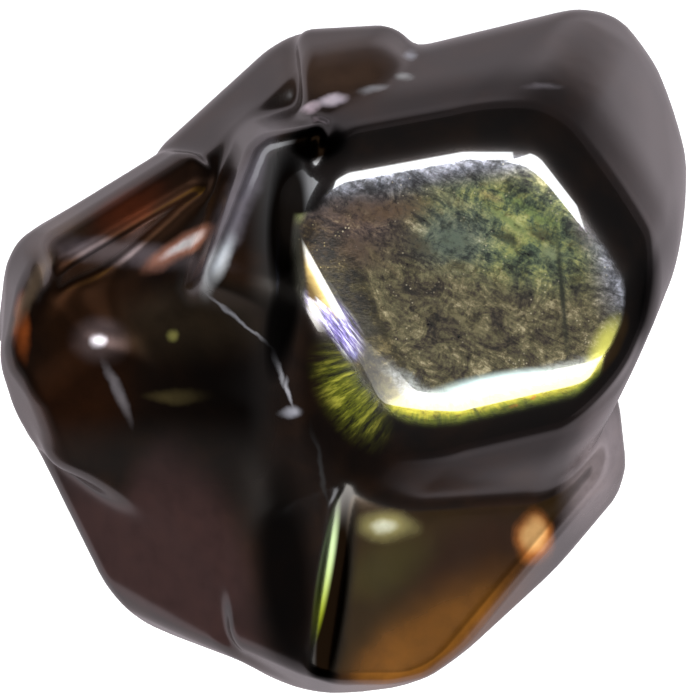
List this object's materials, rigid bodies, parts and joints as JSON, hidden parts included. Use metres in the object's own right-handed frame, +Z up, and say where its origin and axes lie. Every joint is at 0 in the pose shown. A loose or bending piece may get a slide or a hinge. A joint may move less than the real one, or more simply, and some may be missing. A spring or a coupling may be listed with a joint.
{
  "type": "tumbled garnet",
  "caption": "Glossy dark brown tumbled garnet of intergrown dodecahedral crystals with worn edges, a level iridescent face on top and a flat spot to rest on.",
  "frame": {"origin": "middle of the outline's box, at the height of the flat spot the stone rests on", "axes": "+Z up, square out of the main crystal's level face; +X to the right and +Y to the top of the picture"},
  "size_m": [0.0152, 0.015, 0.011],
  "materials": {
    "garnet_brown": "polished"
  },
  "bodies": {
    "root": {"garnet": "garnet_brown"}
  },
  "joints": []
}
